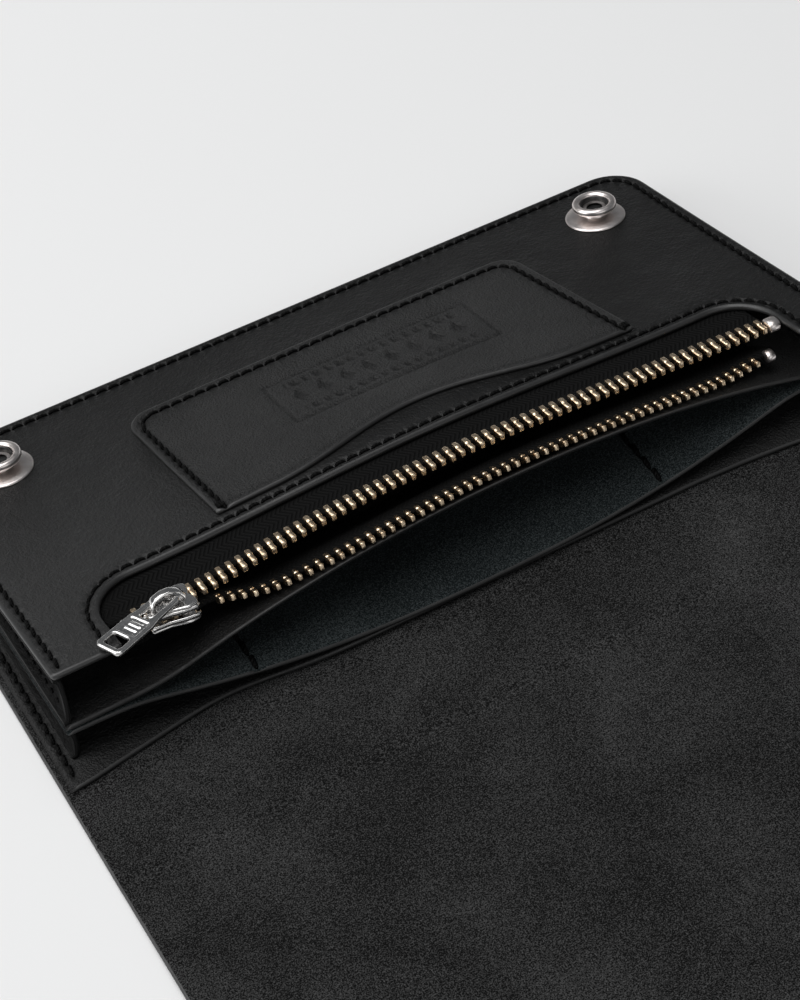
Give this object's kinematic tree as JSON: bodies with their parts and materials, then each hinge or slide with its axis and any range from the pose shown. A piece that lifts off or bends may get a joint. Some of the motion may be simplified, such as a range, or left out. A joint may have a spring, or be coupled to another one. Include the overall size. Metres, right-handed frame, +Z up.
{
  "type": "chain wallet",
  "caption": "Long black leather snap wallet, open, with fanned pockets, a zipped coin pocket, a patch pocket and a chain eyelet.",
  "frame": {"origin": "bottom centre of the open wallet's bounding box, on the surface it lies on", "axes": "+X along the fold, +Y from the flap to the snap edge, +Z up"},
  "size_m": [0.21, 0.225, 0.0309],
  "materials": {
    "outer_leather": "smooth black grain outside, suede flesh side inside",
    "panel_leather": "smooth black leather, burnished edges",
    "patch_leather": "fine-grained black leather with a pressed pattern",
    "divider_suede": "black suede",
    "gusset_leather": "thin black leather",
    "zip_tape": "black herringbone tape",
    "zip_brass": "pale polished brass",
    "zip_nickel": "polished nickel",
    "snap_nickel": "satin nickel",
    "thread": "waxed black thread"
  },
  "bodies": {
    "root": {"outer_back": "outer_leather", "card_panel": "panel_leather", "lower_gusset_left": "gusset_leather", "lower_gusset_right": "gusset_leather", "card_edge_threads": "thread"},
    "middle_leaf": {"card_divider": "divider_suede", "middle_panel": "panel_leather", "upper_gusset_left": "gusset_leather", "upper_gusset_right": "gusset_leather", "lower_tape": "zip_tape", "lower_teeth": "zip_brass", "lower_top_stop": "zip_nickel", "middle_edge_threads": "thread", "card_slot_threads": "thread"},
    "front_leaf": {"front_panel": "panel_leather", "patch_pocket": "patch_leather", "upper_tape": "zip_tape", "upper_teeth": "zip_brass", "upper_top_stop": "zip_nickel", "bottom_stop": "zip_nickel", "snap_stud_bases": "snap_nickel", "snap_stud_rings": "snap_nickel", "snap_stud_posts": "snap_nickel", "front_edge_thread": "thread", "window_thread": "thread", "patch_thread": "thread"},
    "slider": {"slider_body": "zip_nickel", "slider_bridge": "zip_nickel"},
    "pull": {"pull_tab": "zip_nickel"},
    "spine": {"outer_spine": "outer_leather", "chain_eyelet": "snap_nickel", "eyelet_washer": "snap_nickel"},
    "flap": {"outer_flap": "outer_leather", "snap_sockets": "snap_nickel", "snap_caps": "snap_nickel"}
  },
  "joints": [
    {"name": "spine_fold", "type": "hinge", "parent": "root", "child": "spine", "pos_m": [0, 0.0125, 0.0009], "axis": [-1, 0, 0], "range_deg": [0, 90]},
    {"name": "flap_fold", "type": "hinge", "parent": "spine", "child": "flap", "pos_m": [0, -0.0115, 0.0009], "axis": [-1, 0, 0], "range_deg": [0, 95.05]},
    {"name": "middle_fan", "type": "hinge", "parent": "root", "child": "middle_leaf", "pos_m": [0, 0.112, 0.0033], "axis": [1, 0, 0], "range_deg": [0, 2.5], "deforming": ["lower_gusset_left", "lower_gusset_right"]},
    {"name": "front_fan", "type": "hinge", "parent": "middle_leaf", "child": "front_leaf", "pos_m": [0, 0.112, 0.0058], "axis": [1, 0, 0], "range_deg": [0, 3.85], "deforming": ["upper_gusset_left", "upper_gusset_right"]},
    {"name": "zip_slide", "type": "slide", "parent": "front_leaf", "child": "slider", "axis": [1, 0, 0], "range_m": [0, 0.144]},
    {"name": "pull_swing", "type": "hinge", "parent": "slider", "child": "pull", "pos_m": [-0.0702, 0.02881, 0.02896], "axis": [0, 0.972, -0.2351], "range_deg": [0, 180]}
  ],
  "couplings": [
    {"joint": "spine_fold", "follows": "flap_fold", "ratio": 0.94686},
    {"joint": "middle_fan", "follows": "flap_fold", "ratio": 0.02629},
    {"joint": "front_fan", "follows": "flap_fold", "ratio": 0.04049}
  ]
}
